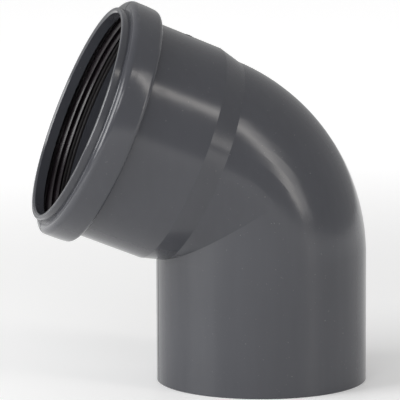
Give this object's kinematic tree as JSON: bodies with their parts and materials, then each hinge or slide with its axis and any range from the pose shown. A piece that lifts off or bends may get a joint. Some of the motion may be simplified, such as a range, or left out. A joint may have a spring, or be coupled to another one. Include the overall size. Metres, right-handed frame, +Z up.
{
  "type": "drain pipe elbow",
  "caption": "Push-fit drain pipe elbow turning a flow by 67.5 degrees, with a plain spigot and a ring-seal socket that has a lip seal behind its rim.",
  "frame": {"origin": "centre of the spigot's end face, which the part stands on", "axes": "+Z up along the spigot, from its end face towards the bend; the bend leans towards -X, so the socket's mouth faces -X and +Z at 22.5 degrees above the XY plane; the part is mirrored about the plane Y = 0"},
  "size_m": [0.1742, 0.128, 0.1997],
  "materials": {
    "body_pvc": "semi-gloss dark grey moulded PVC",
    "seal_rubber": "smooth black rubber, lightly greased",
    "support_plastic": "satin brown-black polypropylene"
  },
  "bodies": {
    "root": {"elbow_body": "body_pvc", "lip_seal": "seal_rubber", "seal_support_ring": "support_plastic"}
  },
  "joints": []
}
